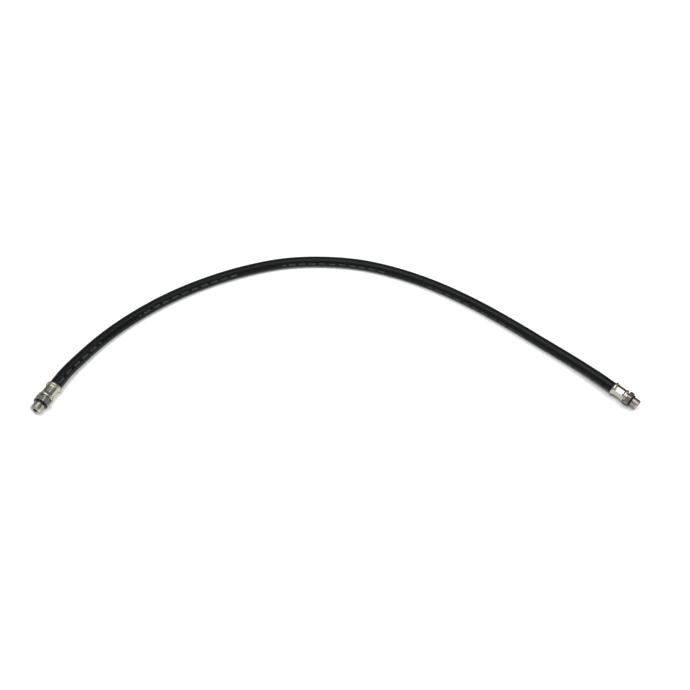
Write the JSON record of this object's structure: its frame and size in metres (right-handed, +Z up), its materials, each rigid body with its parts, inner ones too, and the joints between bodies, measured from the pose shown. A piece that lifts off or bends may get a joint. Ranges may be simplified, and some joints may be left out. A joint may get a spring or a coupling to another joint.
{
  "type": "hydraulic hose assembly",
  "caption": "Wire-braided rubber hydraulic hose with a crimped male O-ring fitting at each end, one fixed and one swivelling, for carrying pressurised oil between two ports.",
  "frame": {"origin": "Centre of the two fittings' common box, on the surface the hose assembly lies on.", "axes": "+X runs along the chord from the swivel end to the fixed end, +Y points to the side that the hose arcs towards, and +Z points up from the surface."},
  "size_m": [0.6027, 0.2222, 0.015],
  "materials": {
    "hose_cover_rubber": "smooth satin",
    "braid_wire": "bright drawn wire",
    "tube_rubber": "smooth matte",
    "ferrule_plating": "bright silver plating with crimp marks",
    "fitting_steel": "turned, plated steel",
    "seal_rubber": "smooth, slightly oily",
    "spring_wire": "bright spring wire",
    "backup_plastic": "waxy white"
  },
  "bodies": {
    "hose": {"hose_cover": "hose_cover_rubber", "hose_wire_braid": "braid_wire", "hose_inner_tube": "tube_rubber", "fixed_end_ferrule": "ferrule_plating", "fixed_end_stem": "fitting_steel", "fixed_end_port_oring": "seal_rubber", "swivel_end_ferrule": "ferrule_plating", "swivel_end_stem": "fitting_steel", "swivel_seal_oring": "seal_rubber", "swivel_backup_ring": "backup_plastic"},
    "swivel": {"swivel_end_body": "fitting_steel", "swivel_end_port_oring": "seal_rubber", "swivel_snap_ring": "spring_wire"}
  },
  "joints": [
    {"name": "swivel_turn", "type": "hinge", "parent": "hose", "child": "swivel", "pos_m": [-0.2913, -0.00171, 0.0075], "axis": [-0.4067, -0.9135, 0], "continuous": true}
  ]
}
